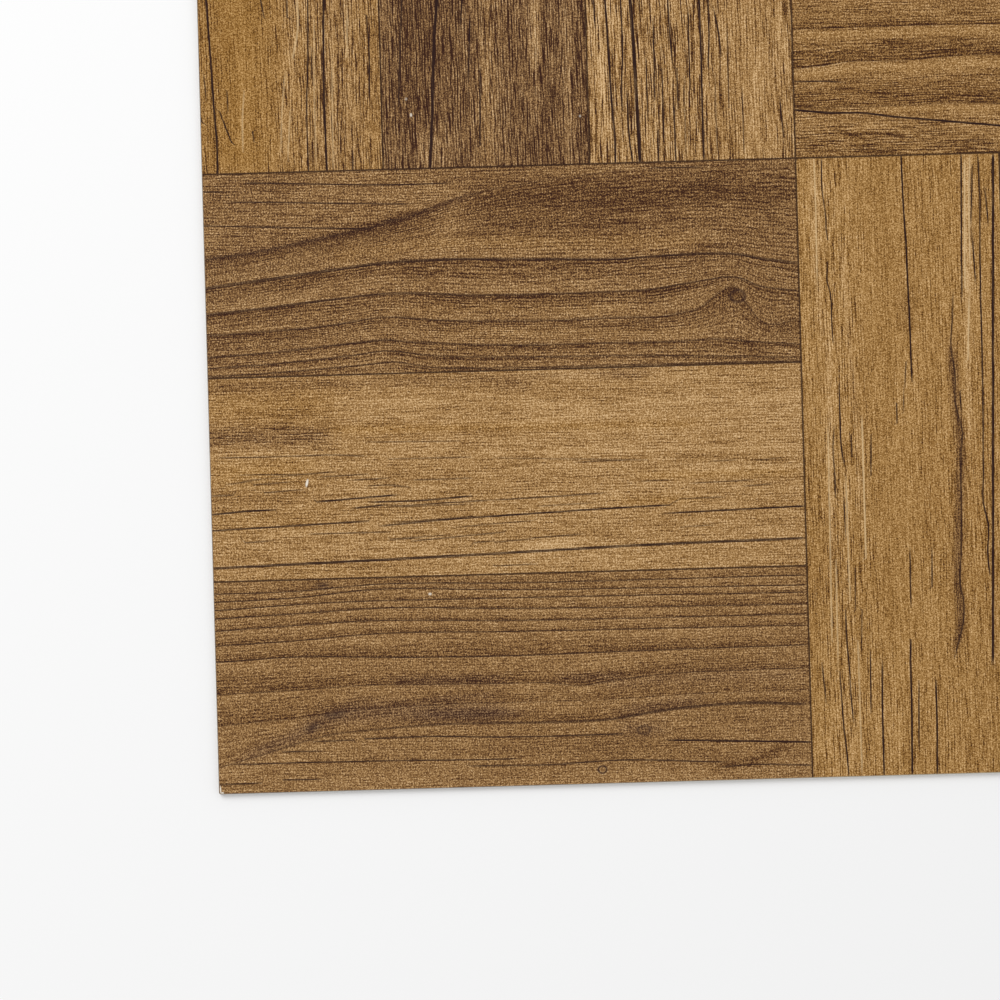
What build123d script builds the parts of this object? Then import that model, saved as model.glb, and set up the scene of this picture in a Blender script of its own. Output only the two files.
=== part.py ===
from build123d import *

import os

# Self-adhesive vinyl floor tile: one laminated PVC sheet, punched square, lying face up.
# Millimetres, +Z up out of the wear face, origin at the centre of the adhesive back.

# Driving dimensions
TILE_SIDE = 304.8  # 12 in module, cut edge to cut edge
TILE_THICKNESS = 1.2  # adhesive back to wear face
CORNER_RADIUS = 0.5  # the punch rounds each corner of the outline
TOP_EDGE_RADIUS = 0.2  # roll-over that the punch leaves round the wear face


def punched_sheet():
    """The square blank cut through the whole laminate, with the rolled-over edge of its wear face."""
    with BuildPart() as sheet:
        with BuildSketch(Plane.XY):
            RectangleRounded(TILE_SIDE, TILE_SIDE, CORNER_RADIUS)
        extrude(amount=TILE_THICKNESS)
        wear_face = sheet.faces().sort_by(Axis.Z)[-1]
        fillet(wear_face.edges(), radius=TOP_EDGE_RADIUS)
    return sheet.part


os.makedirs("parts", exist_ok=True)
export_step(punched_sheet(), "parts/vinyl_tile.step")
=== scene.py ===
import math

import bpy
import numpy as np
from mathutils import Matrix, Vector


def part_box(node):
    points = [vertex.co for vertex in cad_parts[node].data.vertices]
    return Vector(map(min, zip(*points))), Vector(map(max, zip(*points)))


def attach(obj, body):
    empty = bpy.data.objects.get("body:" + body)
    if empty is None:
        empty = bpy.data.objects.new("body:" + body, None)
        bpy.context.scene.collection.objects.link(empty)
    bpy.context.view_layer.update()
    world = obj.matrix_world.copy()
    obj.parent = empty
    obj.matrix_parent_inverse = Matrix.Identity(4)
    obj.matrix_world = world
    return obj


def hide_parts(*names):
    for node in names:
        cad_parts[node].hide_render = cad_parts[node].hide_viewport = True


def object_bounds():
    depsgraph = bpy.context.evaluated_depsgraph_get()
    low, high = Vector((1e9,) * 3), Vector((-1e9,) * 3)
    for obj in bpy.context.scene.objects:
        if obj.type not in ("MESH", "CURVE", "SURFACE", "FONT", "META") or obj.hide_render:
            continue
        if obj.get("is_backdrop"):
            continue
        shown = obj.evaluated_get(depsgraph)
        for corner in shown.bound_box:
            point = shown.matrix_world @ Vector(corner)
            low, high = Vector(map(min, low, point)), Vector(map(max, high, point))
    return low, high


# Self-adhesive vinyl floor tile: a parquet print under a satin wear layer, seen from straight above.
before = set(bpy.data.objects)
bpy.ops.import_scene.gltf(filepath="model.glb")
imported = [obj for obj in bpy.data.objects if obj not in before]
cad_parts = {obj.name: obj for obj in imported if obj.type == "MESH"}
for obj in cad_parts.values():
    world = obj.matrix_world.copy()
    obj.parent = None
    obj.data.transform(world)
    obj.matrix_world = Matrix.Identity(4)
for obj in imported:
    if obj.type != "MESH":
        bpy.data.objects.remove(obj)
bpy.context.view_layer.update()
LOW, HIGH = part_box("vinyl_tile")
MM = 0.001
HALF = (HIGH.x - LOW.x) / 2 / MM
THICK = (HIGH.z - LOW.z) / MM
rng = np.random.default_rng(12)

# Cut edge, mm
CORNER_RADIUS = 0.5
ROLL_OVER = 0.2
ROLL_STEPS = 4
CORNER_STEPS = 5

# Print layout, mm: where the four blocks meet and where the fingers of each block join
BLOCK_X, BLOCK_Y = -3.9, 2.6
JOINT_WIDTH = 0.32
NEAR_LEFT_Y = (-HALF, -99.3, -48.4, BLOCK_Y)
FAR_LEFT_X = (-HALF, -107.0, -55.35, BLOCK_X)
NEAR_RIGHT_X = (BLOCK_X, 47.0, 98.0, HALF)
FAR_RIGHT_Y = (BLOCK_Y, 53.6, 104.6, HALF)
COLUMN = 0.5  # grid step across the grain
ROW = 2.6  # grid step along the grain
END_STEPS = (0.25, 0.6, 1.2)  # closer steps where a finger ends
REACH = 0.95  # how far from a printed line its ink is looked up

# Photo view: pixels to a millimetre, the pixel of the near left corner, and the tile's turn
PIXELS = 4.0
CORNER_PIXEL = (219.0, 794.5)
TURN = math.radians(1.6)
VIEW_PIXELS = 1000
BORDER_RIGHT, BORDER_TOP = 991, 3  # where the photo cuts lines off
SEEN_MARGIN = 20.0  # mm past the photo from where on a finger counts as unseen
LINE_RUN_ON = (60, 500)  # pixels that a cut-off line goes on for, shortest and longest
STREAK_RUN_ON, RING_RUN_ON = 260, 400

# Print fields, mm
STREAK_FADE = 6.0  # the ends of a streak fade over this length
LINE_FADE, LINE_TIP = 2.6, 1.6  # the same for a line, and how far its tip reaches
FIRST_RING = 3.0  # width of the shade before the first year ring
FAR_OFF = 99.0  # no line near
FINGER_SHIFT = 7.3  # keeps the noise of one finger apart from the next one's
KNOT_REACH, KNOT_STEPS = 7.0, 20  # closer grid about the large knot
PLAIN_AREA = 120.0  # square mm of unseen wood to a plain line
PLAIN_LENGTH, PLAIN_CLEAR, PLAIN_SWAY = (6.0, 60.0), 1.2, 0.25  # its length, room at the joints and sway
PLAIN_STRONG = 0.2  # share of plain lines that are wide and dark
WEAR_START, WEAR_RISE, WEAR_BAND = -90.0, 200.0, 0.6  # rubbed near edge: start, rise to full, depth

# Near left block, far finger. Year rings in photo pixels, darkest just below each line.
# Each is: depth of shade at its two ends, width and ink of its line at both ends, points.
RINGS_A = [
    ((0.075, 0.075), (1.5, 1.5), (0.7, 0.6), [(206, 377), (272, 373), (363, 365), (394, 362), (425, 366.5),
     (510, 367.5), (643, 364.5), (798, 360.5)]),
    ((0.09, 0.075), (1.7, 1.5), (0.7, 0.6), [(206, 369), (272, 364), (363, 354), (384, 351), (425, 355),
     (510, 357), (623, 355.5), (798, 357)]),
    ((0.12, 0.105), (2, 1.8), (0.68, 0.54), [(206, 358), (278, 352), (363, 342), (384, 340), (414, 342),
     (510, 345), (602, 343), (684, 341), (717, 339), (745, 341), (798, 344)]),
    ((0.135, 0.12), (2, 2), (0.68, 0.35), [(206, 336), (272, 331), (333, 325), (384, 317), (435, 320),
     (510, 321), (562, 320), (623, 317), (664, 316), (684, 312), (699, 308), (711, 299), (722, 290),
     (737, 288), (748, 305), (756, 316), (798, 320)]),
    ((0.15, 0.135), (2.8, 2), (0.74, 0.62), [(206, 315), (251, 310), (329, 300), (384, 294), (480, 295),
     (547, 294), (602, 292), (653, 289), (684, 283.5), (711, 279), (725, 277), (743, 279), (755, 284.5),
     (776, 288.6), (798, 290.6)]),
    ((0.1, 0.14), (3, 2.5), (0.81, 0.74), [(202, 289), (251, 282), (333, 270), (374, 264), (431, 260),
     (547, 259), (623, 258.6), (674, 255), (711, 253.5), (735, 254), (766, 259), (798, 263)]),
    ((0.12, 0), (2, 1), (0.55, 0), [(202, 260), (251, 253), (304, 242), (363, 229), (404, 218), (455, 199),
     (560, 178), (798, 165)]),
]
# Lines: width in pixels, ink (below 0: a cream line), points
LINES_A = [
    (1.5, 0.94, [(243, 183), (425, 184), (450, 183)]),
    (1.5, 0.94, [(202, 192), (221, 192)]),
    (1.5, 0.94, [(231, 202), (406, 204)]),
    (1.5, 0.94, [(202, 226), (374, 229)]),
    (1.5, 0.94, [(385, 221), (398, 219)]),
    (1.5, 0.94, [(650, 168), (700, 167)]),
]
# Soft streaks: half width in pixels, change of tone, of warmth and of pores, points
STREAKS_A = [
    (7, -0.07, 0, 0, [(340, 231), (404, 219), (440, 205)]),
    (32, -0.1, 0, 0, [(468, 205), (798, 195)]),
    (18, 0, 0, -0.3, [(690, 308), (765, 303)]),
    (3.5, -0.08, -0.2, 0, [(202, 260), (251, 253), (304, 242), (363, 229), (404, 218), (470, 195)]),
    (8, 0.02, 0.2, 0, [(330, 258), (420, 245), (560, 243), (700, 240)]),
    (8, -0.03, 0, 0, [(700, 240), (798, 241)]),
    (12, -0.055, 0, 0, [(205, 188), (300, 184)]),
    (6, -0.05, 0, 0, [(752, 277), (798, 283)]),
    (8, 0.05, 0, 0, [(670, 330), (725, 330)]),
    (7, 0.04, 0.1, 0, [(400, 308), (640, 308)]),
    (6, 0.04, 0.1, 0, [(430, 333), (700, 333)]),
    (6, -0.05, 0, 0, [(202, 205), (225, 185)]),
    (30, -0.03, 0, 0, [(210, 225), (420, 215)]),
    (5, 0.03, 0, 0, [(420, 255), (640, 254)]),
    (6, -0.035, 0, 0, [(400, 275), (660, 273)]),
]

# Near left block, middle finger
LINES_B = [
    (1.2, 0.6, [(394, 522.5), (475, 516)]),
    (1.2, 0.6, [(400, 507), (467, 504)]),
    (1.2, 0.55, [(388, 539), (450, 535)]),
    (1.2, 0.6, [(458, 527), (533, 520.5)]),
    (1.2, 0.55, [(242, 481), (304, 474.5)]),
    (1.5, 0.7, [(221, 458), (288, 456.5), (339, 455), (363, 456)]),
    (1.5, 0.57, [(369, 442), (462, 441)]),
    (1.5, 0.57, [(388, 459), (472, 457)]),
    (1.5, 0.7, [(242, 475), (306, 474), (333, 472)]),
    (1.5, 0.7, [(321, 477), (367, 474)]),
    (1.5, 0.7, [(353, 480), (389, 478)]),
    (1.5, 0.7, [(414, 480), (472, 478)]),
    (1.5, 0.7, [(231, 484), (252, 481)]),
    (1.5, 0.7, [(252, 485), (290, 482)]),
    (1.5, 0.7, [(367, 486), (385, 485), (410, 487)]),
    (1.5, 0.7, [(210, 496), (237, 495)]),
    (1.5, 0.7, [(261, 493), (304, 489.5)]),
    (1.8, 0.99, [(316, 502), (395, 495)]),
    (1.8, 0.99, [(373, 502), (412, 501), (472, 496)]),
    (1.8, 0.99, [(355, 508), (385, 505)]),
    (1.5, 0.75, [(387, 507), (428, 504), (492, 500)]),
    (1.8, 0.99, [(210, 515), (252, 511), (274, 510)]),
    (1.8, 0.99, [(210, 531), (290, 526), (369, 521)]),
    (1.8, 0.99, [(381, 526), (452, 519), (505, 515.5)]),
    (1.5, 0.7, [(310, 534), (389, 532)]),
    (1.5, 0.7, [(242, 543), (270, 541)]),
    (1.5, 0.7, [(389, 540), (418, 538)]),
    (1.5, 0.75, [(412, 541), (505, 532)]),
    (1.5, 0.7, [(470, 543), (493, 541)]),
    (1.5, 0.46, [(495, 458), (650, 460)]),
    (1.5, 0.57, [(577, 462), (628, 460)]),
    (1.5, 0.57, [(712, 461), (734, 460)]),
    (1.5, 0.57, [(758, 460), (780, 458)]),
    (1.5, 0.57, [(642, 481), (670, 480)]),
    (1.5, 0.7, [(694, 483), (750, 480)]),
    (1.5, 0.57, [(746, 486), (770, 484)]),
    (1.5, 0.75, [(495, 500), (545, 497), (603, 493)]),
    (1.8, 0.99, [(495, 516), (555, 512), (615, 508), (670, 505)]),
    (1.5, 0.57, [(541, 506), (591, 503)]),
    (1.8, 0.99, [(670, 513), (804, 506)]),
    (1.5, 0.57, [(676, 499), (722, 497)]),
    (1.5, 0.7, [(531, 538), (581, 534)]),
    (1.5, 0.7, [(495, 542), (531, 539)]),
    (1.5, 0.57, [(680, 527), (712, 525)]),
    (1.5, 0.7, [(495, 566), (535, 564)]),
    (2.6, 0.96, [(212, 568.6), (505, 553), (555, 550), (624, 546), (804, 538)]),
]
STREAKS_B = [
    (12, -0.12, -0.3, 0.2, [(200, 438), (330, 436)]),
    (20, -0.05, 0.2, 0, [(200, 410), (330, 405)]),
    (5, -0.08, -0.2, 0, [(605, 375), (640, 375)]),
    (7, -0.07, -0.2, 0, [(497, 386), (530, 386)]),
    (4, -0.035, 0.3, 0, [(330, 430), (495, 427), (700, 424)]),
    (4, -0.03, 0.3, 0, [(640, 476), (800, 472)]),
    (4, -0.03, 0.3, 0, [(620, 501), (700, 499)]),
    (5, 0.04, 0, 0, [(500, 405), (640, 405)]),
    (4, 0.04, 0, 0, [(495, 421), (560, 421)]),
    (5, 0.04, 0, 0, [(690, 470), (790, 469)]),
    (3, 0.12, 0, 0, [(531, 544), (590, 541)]),
    (3, 0.05, 0, 0, [(535, 377), (580, 376)]),
    (6, -0.09, -0.2, 0, [(208, 388), (350, 383), (500, 378)]),
    (5, -0.05, -0.2, 0, [(500, 378), (660, 371)]),
    (8, -0.05, 0, 0, [(212, 500), (300, 498)]),
    (14, -0.03, 0.3, 0, [(212, 475), (310, 471)]),
    (10, -0.03, 0.1, 0, [(212, 525), (330, 518)]),
    (10, 0.025, 0, 0, [(350, 486), (460, 482)]),
    (12, 0.025, 0, 0, [(610, 488), (690, 484)]),
    (9, 0.03, 0, 0, [(520, 556), (640, 552)]),
    (6, -0.04, 0, 0, [(345, 440), (440, 434)]),
    (6, 0.05, 0, 0, [(520, 552), (620, 546)]),
    (6, 0.03, 0, 0, [(680, 521), (735, 518)]),
    (6, -0.04, 0, 0, [(770, 556), (804, 553)]),
    (3.5, 0.04, 0, 0, [(520, 406), (800, 398)]),
    (3.5, 0.04, 0, 0, [(540, 418), (800, 410)]),
    (3.5, 0.04, 0, 0, [(560, 431), (800, 423)]),
    (3.5, 0.04, 0, 0, [(600, 443), (800, 435)]),
    (3.5, 0.04, 0, 0, [(480, 452), (800, 447)]),
    (3.5, 0.03, 0, 0, [(340, 405), (480, 403)]),
    (3.5, 0.03, 0, 0, [(350, 419), (490, 417)]),
]

# Near left block, near finger. Year rings, darkest just above each line.
RINGS_C = [
    ((0.1, 0.09), (1.4, 1.3), (0.82, 0.75), [(212, 594.5), (294, 591.5), (373, 584.5), (505, 583),
     (805, 575)]),
    ((0.11, 0.1), (1.4, 1.3), (0.82, 0.75), [(212, 602.7), (300, 597.5), (367, 590), (505, 589.7),
     (805, 585)]),
    ((0.11, 0.1), (1.4, 1.3), (0.82, 0.75), [(212, 611), (314, 603.5), (505, 598), (805, 592)]),
    ((0.12, 0.11), (1.4, 1.3), (0.82, 0.76), [(212, 619.5), (321, 612), (373, 608.5), (505, 608.5),
     (805, 604)]),
    ((0.13, 0.11), (1.4, 1.3), (0.8, 0.76), [(212, 632), (294, 625.5), (353, 621.5), (505, 620.5),
     (805, 614)]),
    ((0.13, 0.11), (1.4, 1.3), (0.8, 0.76), [(212, 646.5), (306, 640), (373, 634), (505, 631.6),
     (805, 625)]),
    ((0.15, 0.12), (1.4, 1.3), (0.8, 0.76), [(212, 663), (298, 657), (393, 657.5), (505, 656), (657, 650),
     (805, 645)]),
    ((0.15, 0.13), (1.4, 1.3), (0.47, 0.47), [(212, 695.5), (306, 689.5), (363, 685.5), (420, 684.5),
     (505, 683.5), (551, 683), (582, 686), (606, 682), (657, 675), (745, 670), (805, 668)]),
    ((0.1, 0.11), (1.4, 1.3), (0.41, 0.2), [(212, 727), (260, 722), (306, 718), (345, 712), (420, 706),
     (505, 703), (600, 700), (700, 694), (805, 690)]),
    ((0.045, 0.135), (1.5, 3), (0.4, 0.8), [(212, 770), (235, 763), (265, 754), (306, 741), (335, 734),
     (363, 731), (452, 724), (505, 723), (562, 722), (613, 719), (653, 712), (700, 706), (745, 703),
     (805, 704)]),
]
LINES_C = [
    (1.5, 0.92, [(361, 739), (432, 736.5), (505, 737), (623, 734)]),
    (1.8, 1.1, [(669, 740), (812, 742)]),
    (1.5, 0.92, [(470, 766), (563, 764), (607, 760.6), (723, 762)]),
    (1.5, 0.92, [(723, 767), (744, 765), (812, 765)]),
    (1.4, 0.92, [(235, 764.6), (304, 762.6), (393, 760.7), (505, 759), (520, 758.5)]),
    (1.5, 0.92, [(280, 780), (320, 779.5)]),
    (1.5, 0.92, [(214, 785), (263, 783)]),
    (1.5, 0.92, [(282, 752), (321, 751)]),
    (1.5, 0.92, [(314, 741.5), (357, 740)]),
]
STREAKS_C = [
    (5, -0.055, -0.3, 0, [(415, 716), (470, 714), (525, 712)]),
    (3, -0.04, -0.2, 0, [(425, 700), (500, 693)]),
    (6, -0.1, 0, 0, [(720, 766), (758, 759), (777, 751), (791, 744)]),
    (15, -0.035, 0, 0, [(480, 749), (730, 747)]),
    (10, -0.07, -0.4, 0, [(300, 730), (325, 720), (350, 712)]),
    (11, -0.06, -0.4, 0, [(345, 712), (420, 711), (505, 712)]),
    (6, -0.05, -0.3, 0, [(395, 681), (505, 680)]),
    (7, -0.05, -0.4, 0, [(245, 758), (275, 745), (305, 733)]),
    (9, -0.05, -0.3, 0, [(620, 728), (665, 728)]),
    (7, -0.05, -0.3, 0, [(620, 712), (700, 699)]),
    (7, -0.04, -0.2, 0, [(610, 684), (700, 677), (805, 673)]),
    (5, -0.05, -0.3, 0, [(560, 678), (620, 676)]),
    (30, 0.018, 0, 0, [(212, 622), (805, 606)]),
    (26, -0.02, 0, 0, [(300, 752), (805, 732)]),
]

# Far left block, first finger
LINES_D = [
    (2, 1.25, [(206, 0), (212, 80), (214, 110), (217, 145), (217.5, 177)]),
    (1.5, 1.15, [(219, 110), (225, 126), (233, 146)]),
    (1.5, 1.05, [(204, 77), (206, 99)]),
    (1.5, 1.05, [(199, 115), (204, 126)]),
    (1.5, 1.05, [(227, 91), (228, 111)]),
    (1.5, 1.05, [(261, 2), (264, 18)]),
    (1.5, 1.05, [(252, 128), (254, 142)]),
    (1.5, 1.05, [(307.7, 0), (307.7, 59), (306.7, 111), (308.7, 174)]),
    (2, 1.25, [(323.5, 0), (323.5, 59), (324.5, 111), (327, 172)]),
    (1.5, 1.05, [(366, 12), (369, 49), (369, 99)]),
    (1.5, 1.05, [(311.6, 49), (311.6, 79)]),
    (1.5, 1.05, [(353, 154), (352.6, 172)]),
    (1.6, -0.45, [(244, 92), (242.4, 119), (243, 150)]),
    (1.8, -0.55, [(297, 0), (298, 26), (292, 61)]),
    (1.8, -0.35, [(285, 75), (282, 111), (281, 150)]),
    (1.5, -0.45, [(290, 111), (288, 158)]),
    (1.5, -0.45, [(347, 14), (347, 59)]),
    (1.5, -0.35, [(314, 20), (314, 80), (316, 160)]),
    (1.5, -0.35, [(332, 60), (333, 165)]),
]
STREAKS_D = [
    (6, 0.035, -0.15, 0, [(294, 0), (291, 60), (285, 110), (283, 167)]),
    (4, 0.04, -0.15, 0, [(346, 0), (347, 45)]),
    (3, -0.07, 0, 0, [(339, 0), (340, 59), (341, 119), (344, 170)]),
    (5, 0.03, 0, 0, [(242, 47), (243, 99), (243, 150)]),
    (40, -0.005, 0.3, -0.35, [(236, 0), (240, 172)]),
    (36, 0, -0.25, 0.15, [(335, 0), (338, 172)]),
    (6, 0.03, 0, 0, [(291, 0), (291, 172)]),
]

# Far left block, middle finger
LINES_E = [
    (1.5, 1.02, [(401.6, 0), (399.6, 59), (398.6, 107)]),
    (3, 1.2, [(437, 0), (434, 39.5), (433, 79), (432, 119), (430, 170)]),
    (1.5, 1.02, [(462, 0), (460, 30)]),
    (1.5, 1.12, [(470, 20), (468, 79)]),
    (1.5, 1.12, [(480, 69), (480, 148)]),
]
STREAKS_E = [
    (2, 0.1, 0, 0, [(439, 6), (438, 30)]),
    (6, 0.12, 0, 0, [(424, 138), (424, 170)]),
    (4, 0.1, 0, 0, [(438, 130), (438, 165)]),
    (9, 0.1, 0.2, 0, [(487, 0), (487, 170)]),
    (6, 0.17, 0.2, 0, [(535, 0), (536, 68)]),
    (26, -0.07, 0, 0, [(418, 0), (416, 130)]),
    (3, -0.08, 0, 0, [(542, 0), (544, 66), (548, 112), (550, 165)]),
    (4, -0.06, 0, 0, [(576, 30), (576, 90)]),
    (8, -0.05, 0, 0, [(583, 0), (588, 165)]),
    (4, 0.08, 0, 0, [(563, 0), (570, 165)]),
    (5, -0.04, 0, 0, [(455, 40), (455, 120)]),
]

# Far left block, last finger
LINES_F = [
    (2, 1.25, [(605, 0), (607, 30), (609, 60), (611.5, 100), (615, 141), (615.5, 163)]),
    (1.5, 1.15, [(620.5, 0), (622.6, 54), (621.6, 84), (622.6, 112)]),
    (3.4, 1.15, [(630, 0), (633.2, 40), (635.6, 84), (638, 124.5), (640, 163)]),
    (1.5, 1.15, [(627.6, 96), (629.6, 141), (632.6, 161)]),
    (1.5, 1.15, [(593.4, 0), (594.8, 24)]),
    (1.5, 1.05, [(667.8, 0), (669.8, 36), (672.8, 66)]),
    (1.5, 1.15, [(676.8, 66), (677.8, 108)]),
    (1.8, 1.25, [(673.8, 104.5), (675.8, 161)]),
    (2, 1.25, [(699, 0), (701, 50), (702, 96), (704, 159)]),
    (1.5, 1.05, [(708, 0), (709, 30), (708, 70)]),
    (1.5, 1.05, [(714, 10), (719, 36), (721, 56)]),
    (1.5, 1.15, [(657.7, 129), (658.7, 161)]),
    (1.5, 1.05, [(780, 100), (784, 140)]),
    (1.4, 1.06, [(646, 60), (648, 120)]),
    (1.4, 1.06, [(653, 20), (655, 100)]),
    (1.4, 1.06, [(662, 70), (664, 140)]),
    (1.4, 1.06, [(688, 10), (690, 90)]),
    (1.4, 0.62, [(684, 80), (686, 155)]),
    (1.4, 0.75, [(715, 80), (717, 150)]),
    (1.4, 0.75, [(727, 30), (729, 110)]),
    (1.4, 0.75, [(742, 90), (744, 150)]),
]
STREAKS_F = [
    (3, 0.1, 0, 0, [(597.5, 0), (597.5, 26), (601.5, 80), (603.5, 128)]),
    (4, -0.07, 0, 0, [(628, 60), (631, 118)]),
    (4, -0.04, 0, 0, [(617, 95), (619, 155)]),
    (2, 0.1, 0, 0, [(779, 20), (780, 50)]),
    (2, 0.1, 0, 0, [(756, 60), (754, 120)]),
    (38, 0.03, 0, -0.4, [(750, 0), (752, 160)]),
]

# Far right block, near finger. Year rings, darkest just above each line.
RINGS_G = [
    ((0.16, 0.16), (1, 1), (0.41, 0.41), [(793, 29.5), (909, 25.5), (994, 23.6)]),
    ((0.15, 0.16), (1, 1), (0.41, 0.41), [(793, 69.4), (822, 66), (846, 62), (885, 61), (909, 59.8),
     (957, 55.8), (994, 54.2)]),
    ((0.11, 0.17), (1, 1), (0.2, 0.41), [(793, 108), (893, 106), (941, 103.6), (994, 102.8)]),
]
LINES_G = [
    (1.5, 1.05, [(794.6, 81.6), (826.5, 81.3), (841, 82)]),
    (2, 1.25, [(794.6, 110), (826.5, 112.6), (865, 113.2), (897, 117), (922, 119), (957, 122), (994, 125)]),
]
STREAKS_G = [
    (14, -0.06, 0, 0.3, [(795, 140), (994, 145)]),
    (5, 0.065, 0.1, -0.25, [(793, 36), (909, 32), (994, 30)]),
    (6, 0.065, 0.1, -0.25, [(793, 77), (846, 70), (909, 67), (994, 62)]),
    (4, 0.04, 0.1, -0.25, [(880, 110), (941, 108), (994, 108)]),
]

# Near right block, first finger
LINES_H = [
    (1.4, 0.97, [(821.5, 158), (822, 190), (825.5, 214), (827, 237), (829, 244)]),
    (1.4, 0.97, [(827.5, 261), (827.5, 284), (830, 292), (831.5, 317), (833, 343)]),
    (1.7, 1.3, [(901, 155), (902.5, 190), (904, 217), (906, 244), (907, 270), (908.5, 297), (910, 331),
     (911, 360), (912, 380)]),
    (1.6, 1.13, [(961, 155), (961.4, 217), (961.4, 257), (962, 295)]),
    (1.6, 0.85, [(952.7, 297), (952, 324), (950.7, 344), (952.7, 360), (954.7, 370), (955.4, 404),
     (958.7, 417), (962.8, 433), (961.4, 444), (961, 470), (961.4, 524), (960.8, 560), (960, 583),
     (964, 604), (963, 624), (960, 637), (954.7, 657)]),
    (1.5, 1.06, [(960, 390), (961, 408)]),
    (1.5, 1.06, [(972, 166), (971, 222)]),
    (1.5, 1.06, [(972, 236), (975.5, 281)]),
    (1.6, 1.13, [(978, 158), (979.5, 190), (980, 257), (981, 311), (982, 350), (983, 404), (983.5, 470),
     (985, 511), (987, 517), (988, 560), (990, 574)]),
    (1.5, 1.06, [(985, 190), (988, 222)]),
    (2.6, 1.15, [(993, 393), (993, 422)]),
    (1.5, 0.97, [(906, 361), (905, 383)]),
    (1.5, 1.06, [(839, 383), (840, 417), (841.6, 450), (844, 464)]),
    (1.5, 0.97, [(834, 428), (833, 450), (835, 477), (835.5, 497)]),
    (1.5, 0.97, [(844, 501), (845.6, 537)]),
    (1.5, 0.97, [(896.5, 400), (897, 424)]),
    (1.5, 0.97, [(903.6, 395), (903.6, 410)]),
    (1.5, 0.97, [(871, 436), (871, 479)]),
    (1.5, 0.97, [(851, 436), (852, 457)]),
    (1.5, 0.69, [(855, 565), (855.6, 612)]),
    (1.5, 0.97, [(910, 550), (911, 604)]),
    (1.5, 0.97, [(932, 550), (932, 590)]),
    (1.5, 1.05, [(845.6, 610), (847, 644), (849.6, 670), (851, 695), (853.6, 721)]),
    (1.5, 0.69, [(862, 608), (861.6, 649)]),
    (1.5, 0.97, [(822, 664), (823.5, 677), (826, 701)]),
    (1.5, 1.05, [(840, 673), (841.6, 697), (843.6, 724), (845.6, 741), (849, 775)]),
    (1.5, 0.97, [(870.4, 652), (871, 711)]),
    (1.8, 1.15, [(882.4, 664), (882.4, 704), (884.3, 775)]),
    (2, 1.15, [(911, 638), (910.5, 657), (911.6, 697), (912.4, 775)]),
    (1.5, 0.97, [(919, 681), (919, 743)]),
    (1.8, 1.15, [(936, 681), (937, 721), (937.5, 774)]),
    (1.6, -0.7, [(862, 420), (866, 560)]),
    (1.6, -0.55, [(846, 480), (850, 600)]),
    (1.6, -0.55, [(828, 430), (832, 640)]),
    (1.3, -0.6, [(814, 161), (815.5, 203), (817, 277)]),
    (1.3, -0.7, [(964.5, 163), (964.5, 230), (965, 290)]),
    (1.3, -0.65, [(969.5, 158), (969, 215), (970, 262)]),
    (1.6, -0.7, [(969, 300), (968, 360)]),
    (1.6, -0.5, [(836, 560), (838, 660)]),
    (1.6, -0.5, [(858, 640), (862, 770)]),
]
STREAKS_H = [
    (22, 0, 0, 0.18, [(832, 155), (850, 775)]),
    (4, 0.07, -0.2, 0, [(814, 158), (816, 215), (818, 290), (822, 340)]),
    (3, 0.06, -0.2, 0, [(842, 250), (848, 330), (857, 420), (861, 520)]),
    (3, 0.05, -0.2, 0, [(828, 330), (830, 440), (833, 560)]),
    (5, 0.08, -0.3, 0, [(967, 155), (967, 230), (968, 300)]),
    (4, 0.06, -0.2, 0, [(967, 300), (968, 360), (970, 440)]),
    (22, 0, 0, -0.12, [(875, 160), (905, 640)]),
    (5, -0.15, -0.6, 0, [(951, 344), (956, 400), (960, 440), (959, 524), (958, 583), (961, 624),
     (955, 650)]),
    (8, -0.05, -0.2, 0, [(905, 290), (908, 330)]),
]

# The fingers: block, place across the grain, tone (mean of red, green and blue), warmth, pores, linen,
# side of a year ring that is dark (+1: towards the low side of the grid), rings, lines, streaks
FINGERS = [
    ("near_left", 0, 0.424, 0.6, 0.15, 0.75, -1, RINGS_C, LINES_C, STREAKS_C),
    ("near_left", 1, 0.487, 0.85, 0.22, 0.85, 1, [], LINES_B, STREAKS_B),
    ("near_left", 2, 0.4, 0.55, 0.2, 1.05, 1, RINGS_A, LINES_A, STREAKS_A),
    ("far_left", 0, 0.424, 1.1, 0.55, 0.1, 1, [], LINES_D, STREAKS_D),
    ("far_left", 1, 0.312, 0.4, 0.7, 0.3, 1, [], LINES_E, STREAKS_E),
    ("far_left", 2, 0.455, 0.9, 0.74, 0.4, 1, [], LINES_F, STREAKS_F),
    ("near_right", 0, 0.467, 1.2, 0.3, 0.25, 1, [], LINES_H, STREAKS_H),
    ("near_right", 1, 0.36, 0.4, 0.6, 0.1, 1, [], [], []),
    ("near_right", 2, 0.46, 0.9, 0.6, 0.1, 1, [], [], []),
    ("far_right", 0, 0.418, 0.85, 0.28, 0.8, -1, RINGS_G, LINES_G, STREAKS_G),
    ("far_right", 1, 0.47, 0.9, 0.4, 0.5, 1, [], [], []),
    ("far_right", 2, 0.37, 0.4, 0.4, 0.5, 1, [], [], []),
]
BLOCKS = {
    "near_left": ((-HALF, BLOCK_X), NEAR_LEFT_Y, 0),
    "far_left": (FAR_LEFT_X, (BLOCK_Y, HALF), 1),
    "near_right": (NEAR_RIGHT_X, (-HALF, BLOCK_Y), 1),
    "far_right": ((BLOCK_X, HALF), FAR_RIGHT_Y, 0),
}

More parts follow.
